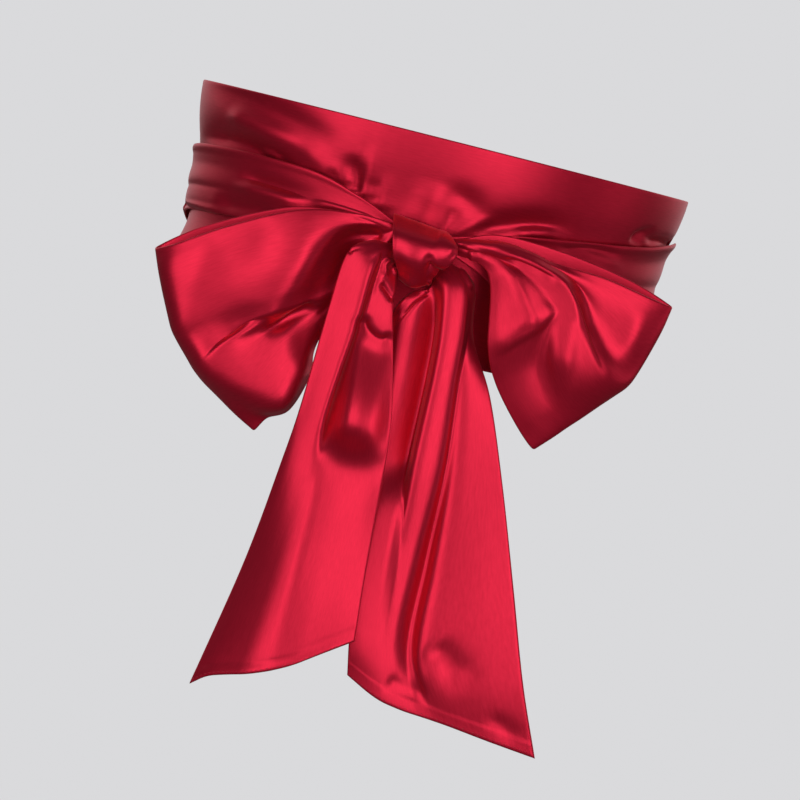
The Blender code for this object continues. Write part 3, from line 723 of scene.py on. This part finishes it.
def tail(name, folds, creases, material):
    """A hanging end of the sash, with the turned allowance pressed inside its slanted hem."""
    grid = through(across_folds(folds, shares(*TAIL_ACROSS)), shares(*TAIL_ALONG))
    grid = press_creases(grid, creases)
    return cloth(name, grid, material, hem=True), grid


def knot(material):
    """The sleeve of cloth wrapped over the middle of the bow."""
    lines = np.array(KNOT, float).reshape(len(KNOT), 3, 3)
    ring = through(lines, np.arange(KNOT_ROUND) / KNOT_ROUND, cyclic=True).transpose(1, 0, 2)
    grid = through(ring, shares(*KNOT_ALONG))
    normal = normals(grid, cyclic=True)
    front = smooth_step((KNOT_FRONT - grid[..., 1:2]) / KNOT_FADE)
    towards = np.sign(-normal[..., 1:2])
    grid = grid + normal * towards * front * crease_lift(grid, KNOT_CREASES)[..., None]
    return cloth("knot_satin", grid, material, wall=KNOT_WALL, cyclic=True), grid


def stitch_tree():
    """A run of small stitches along a line of points."""
    tree = bpy.data.node_groups.new("stitch_run", "GeometryNodeTree")
    face = tree.interface
    face.new_socket(name="Line", in_out="INPUT", socket_type="NodeSocketGeometry")
    for name in ("Pitch", "Length", "Thickness"):
        face.new_socket(name=name, in_out="INPUT", socket_type="NodeSocketFloat")
    face.new_socket(name="Thread", in_out="INPUT", socket_type="NodeSocketMaterial")
    face.new_socket(name="Stitches", in_out="OUTPUT", socket_type="NodeSocketGeometry")
    nodes, links = tree.nodes, tree.links
    entry = nodes.new("NodeGroupInput")
    leave = nodes.new("NodeGroupOutput")
    curve = nodes.new("GeometryNodeMeshToCurve")
    spaced = nodes.new("GeometryNodeResampleCurve")
    spaced.mode = "LENGTH"
    bead = nodes.new("GeometryNodeMeshIcoSphere")
    bead.inputs["Subdivisions"].default_value = 2
    bead.inputs["Radius"].default_value = 0.5
    size = nodes.new("ShaderNodeCombineXYZ")
    stretched = nodes.new("GeometryNodeTransform")
    tangent = nodes.new("GeometryNodeInputTangent")
    turn = nodes.new("FunctionNodeAlignRotationToVector")
    turn.axis = "X"
    placed = nodes.new("GeometryNodeInstanceOnPoints")
    real = nodes.new("GeometryNodeRealizeInstances")
    smooth = nodes.new("GeometryNodeSetShadeSmooth")
    finish = nodes.new("GeometryNodeSetMaterial")
    links.new(entry.outputs["Line"], curve.inputs["Mesh"])
    links.new(curve.outputs["Curve"], spaced.inputs["Curve"])
    links.new(entry.outputs["Pitch"], spaced.inputs["Length"])
    links.new(entry.outputs["Length"], size.inputs["X"])
    links.new(entry.outputs["Thickness"], size.inputs["Y"])
    links.new(entry.outputs["Thickness"], size.inputs["Z"])
    links.new(bead.outputs["Mesh"], stretched.inputs["Geometry"])
    links.new(size.outputs["Vector"], stretched.inputs["Scale"])
    links.new(tangent.outputs["Tangent"], turn.inputs["Vector"])
    links.new(spaced.outputs["Curve"], placed.inputs["Points"])
    links.new(stretched.outputs["Geometry"], placed.inputs["Instance"])
    links.new(turn.outputs["Rotation"], placed.inputs["Rotation"])
    links.new(placed.outputs["Instances"], real.inputs["Geometry"])
    links.new(real.outputs["Geometry"], smooth.inputs["Geometry"])
    links.new(smooth.outputs["Geometry"], finish.inputs["Geometry"])
    links.new(entry.outputs["Thread"], finish.inputs["Material"])
    links.new(finish.outputs["Geometry"], leave.inputs["Stitches"])
    return tree


def stitches(name, line, tree, material):
    """Stitches along a line of points on the cloth, as a plain mesh."""
    guide = bpy.data.meshes.new(name + "_line")
    guide.from_pydata((line * MM).tolist(), [(k, k + 1) for k in range(len(line) - 1)], [])
    maker = bpy.data.objects.new(name + "_line", guide)
    bpy.context.scene.collection.objects.link(maker)
    modifier = maker.modifiers.new("stitches", "NODES")
    modifier.node_group = tree
    values = {
        "Pitch": STITCH_PITCH * MM,
        "Length": STITCH_LENGTH * MM,
        "Thickness": STITCH_THICKNESS * MM,
        "Thread": material,
    }
    for item in tree.interface.items_tree:
        if item.item_type == "SOCKET" and item.in_out == "INPUT" and item.name in values:
            modifier[item.identifier] = values[item.name]
    bpy.context.view_layer.update()
    finished = maker.evaluated_get(bpy.context.evaluated_depsgraph_get())
    made = bpy.data.meshes.new_from_object(finished)
    made.name = name
    bpy.data.objects.remove(maker)
    piece = bpy.data.objects.new(name, made)
    bpy.context.scene.collection.objects.link(piece)
    return piece


def hem_line(grid):
    """A line of points on the front of a tail, just above its slanted end."""
    down = lengths(grid, 0)
    row = int(np.argmin(np.abs((down[-1] - down).mean(axis=1) - STITCH_INSET)))
    normal = normals(grid)[row]
    towards = np.sign(-normal[:, 1:2])
    out = CLOTH_WALL / 2 + HEM_RISE - STITCH_SUNK * STITCH_THICKNESS
    return (grid[row] + normal * towards * out)[STITCH_MARGIN:-STITCH_MARGIN]


def camera():
    """The camera at the photographed angle."""
    place, target = Vector(CAMERA_PLACE) * MM, Vector(CAMERA_TARGET) * MM
    data = bpy.data.cameras.new("camera")
    data.lens = CAMERA_LENS
    data.clip_end = 100
    seen = bpy.data.objects.new("camera", data)
    look = (target - place).to_track_quat("-Z", "Y").to_matrix().to_4x4()
    roll = Matrix.Rotation(math.radians(CAMERA_ROLL), 4, "Z")
    seen.matrix_world = Matrix.Translation(place) @ look @ roll
    bpy.context.scene.collection.objects.link(seen)
    bpy.context.scene.camera = seen


def soft_light(name, azimuth, elevation, distance, width, height, power, colour):
    """A large soft light that faces the middle of the sash."""
    data = bpy.data.lights.new(name, "AREA")
    data.shape = "RECTANGLE"
    data.size = width
    data.size_y = height
    data.energy = power
    data.color = colour
    lamp = bpy.data.objects.new(name, data)
    lamp.visible_camera = False
    a, e = math.radians(azimuth), math.radians(elevation)
    back = Vector((math.sin(a) * math.cos(e), -math.cos(a) * math.cos(e), math.sin(e)))
    lamp.location = Vector(LIGHT_TARGET) * MM + back * distance
    lamp.rotation_mode = "QUATERNION"
    lamp.rotation_quaternion = (-back).to_track_quat("-Z", "Y")
    bpy.context.scene.collection.objects.link(lamp)


def room():
    """A pale room: even behind the sash, dim in front of it, so that the satin has darks to reflect."""
    world = bpy.data.worlds.new("room")
    bpy.context.scene.world = world
    world.use_nodes = True
    nodes, links = world.node_tree.nodes, world.node_tree.links
    out = nodes["World Output"]
    seen = nodes["Background"]
    seen.inputs["Color"].default_value = (*PALE, 1.0)
    seen.inputs["Strength"].default_value = 1.0
    felt = nodes.new("ShaderNodeBackground")
    felt.inputs["Color"].default_value = (1.0, 0.98, 0.98, 1.0)
    place = nodes.new("ShaderNodeTexCoord")
    parts = nodes.new("ShaderNodeSeparateXYZ")
    links.new(place.outputs["Generated"], parts.inputs["Vector"])
    behind = nodes.new("ShaderNodeMapRange")
    behind.interpolation_type = "SMOOTHSTEP"
    behind.inputs["From Min"].default_value = 0.0
    behind.inputs["From Max"].default_value = 0.7
    behind.inputs["To Min"].default_value = ROOM_IN_FRONT
    behind.inputs["To Max"].default_value = ROOM_BEHIND
    links.new(parts.outputs["Y"], behind.inputs["Value"])
    links.new(behind.outputs["Result"], felt.inputs["Strength"])
    path = nodes.new("ShaderNodeLightPath")
    mix = nodes.new("ShaderNodeMixShader")
    links.new(path.outputs["Is Camera Ray"], mix.inputs["Fac"])
    links.new(felt.outputs["Background"], mix.inputs[1])
    links.new(seen.outputs["Background"], mix.inputs[2])
    links.new(mix.outputs["Shader"], out.inputs["Surface"])


def pale_floor():
    """A round floor well below the sash, which fades into the backdrop."""
    turns = [2 * math.pi * k / FLOOR_SIDES for k in range(FLOOR_SIDES)]
    ring = [(FLOOR_REACH * math.cos(turn), FLOOR_REACH * math.sin(turn), FLOOR_HEIGHT) for turn in turns]
    floor_mesh = bpy.data.meshes.new("floor")
    floor_mesh.from_pydata(ring, [], [tuple(range(FLOOR_SIDES))])
    floor = bpy.data.objects.new("floor", floor_mesh)
    bpy.context.scene.collection.objects.link(floor)
    material = bpy.data.materials.new("pale_floor")
    material.use_nodes = True
    nodes, links = material.node_tree.nodes, material.node_tree.links
    shader = nodes["Principled BSDF"]
    shader.inputs["Base Color"].default_value = (0.20, 0.19, 0.19, 1.0)
    shader.inputs["Roughness"].default_value = 0.9
    glow = nodes.new("ShaderNodeEmission")
    glow.inputs["Color"].default_value = (*PALE, 1.0)
    place = nodes.new("ShaderNodeTexCoord")
    far = nodes.new("ShaderNodeVectorMath")
    far.operation = "LENGTH"
    links.new(place.outputs["Object"], far.inputs[0])
    fade = nodes.new("ShaderNodeMapRange")
    fade.interpolation_type = "SMOOTHSTEP"
    fade.inputs["From Min"].default_value = FLOOR_FADE[0]
    fade.inputs["From Max"].default_value = FLOOR_FADE[1]
    links.new(far.outputs["Value"], fade.inputs["Value"])
    seen_only = nodes.new("ShaderNodeLightPath")
    both = nodes.new("ShaderNodeMath")
    both.operation = "MULTIPLY"
    links.new(fade.outputs["Result"], both.inputs[0])
    links.new(seen_only.outputs["Is Camera Ray"], both.inputs[1])
    mix = nodes.new("ShaderNodeMixShader")
    links.new(both.outputs[0], mix.inputs["Fac"])
    links.new(shader.outputs["BSDF"], mix.inputs[1])
    links.new(glow.outputs["Emission"], mix.inputs[2])
    links.new(mix.outputs["Shader"], nodes["Material Output"].inputs["Surface"])
    floor_mesh.materials.append(material)


camera()
weave = satin_weave_group()
band = satin("band_satin", weave, BAND_FINISH)
bow = satin("bow_satin", weave, BOW_FINISH)
thread = thread_material()

made = {
    "front_turn": front_turn(band),
    "left_wrap": wrap("left_wrap_satin", LEFT_WRAP, LEFT_GATHERS, LEFT_WRAP_CREASES, -1, band),
    "right_wrap": wrap("right_wrap_satin", RIGHT_WRAP, RIGHT_GATHERS, RIGHT_WRAP_CREASES, 1, band),
    "knot": knot(bow),
    "left_loop": loop("left_loop_satin", LEFT_LOOP_FRONT, LEFT_LOOP_BACK, LEFT_LOOP_CREASES, bow),
    "right_loop": loop("right_loop_satin", RIGHT_LOOP_FRONT, RIGHT_LOOP_BACK, RIGHT_LOOP_CREASES, bow),
    "left_tail": tail("left_tail_satin", LEFT_TAIL, LEFT_TAIL_CREASES, bow),
    "right_tail": tail("right_tail_satin", RIGHT_TAIL, RIGHT_TAIL_CREASES, bow),
}

# Each piece of cloth: what it stands for, its finish, the cut of what shows in metres, and how it is held.
CLOTH_PIECES = (
    # node, slot, length, width, held, rests on
    ("front_turn", "satin_band", 0.560, 0.100, "stretched", ["left_wrap", "right_wrap"]),
    ("left_wrap", "satin_band", 0.400, 0.100, "gathered", ["front_turn"]),
    ("right_wrap", "satin_band", 0.400, 0.100, "gathered", ["front_turn"]),
    ("knot", "satin_bow", 0.100, 0.100, "folded", ["front_turn"]),
    ("left_loop", "satin_bow", 0.245, 0.100, "folded", ["knot"]),
    ("right_loop", "satin_bow", 0.245, 0.100, "folded", ["knot"]),
    ("left_tail", "satin_bow", 0.235, 0.100, "hung", ["knot"]),
    ("right_tail", "satin_bow", 0.240, 0.100, "hung", ["knot"]),
)
for node, slot, length, width, held, rests_on in CLOTH_PIECES:
    piece, grid = made[node]
    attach(piece, "root")
    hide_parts(node)

stitch_run = stitch_tree()
for name, node in (("left_hem_stitches", "left_tail"), ("right_hem_stitches", "right_tail")):
    grid = made[node][1]
    sewn = stitches(name, hem_line(grid), stitch_run, thread)
    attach(sewn, "root")

room()
pale_floor()
for light in LIGHTS:
    soft_light(*light)
bpy.context.scene.view_settings.view_transform = "Standard"
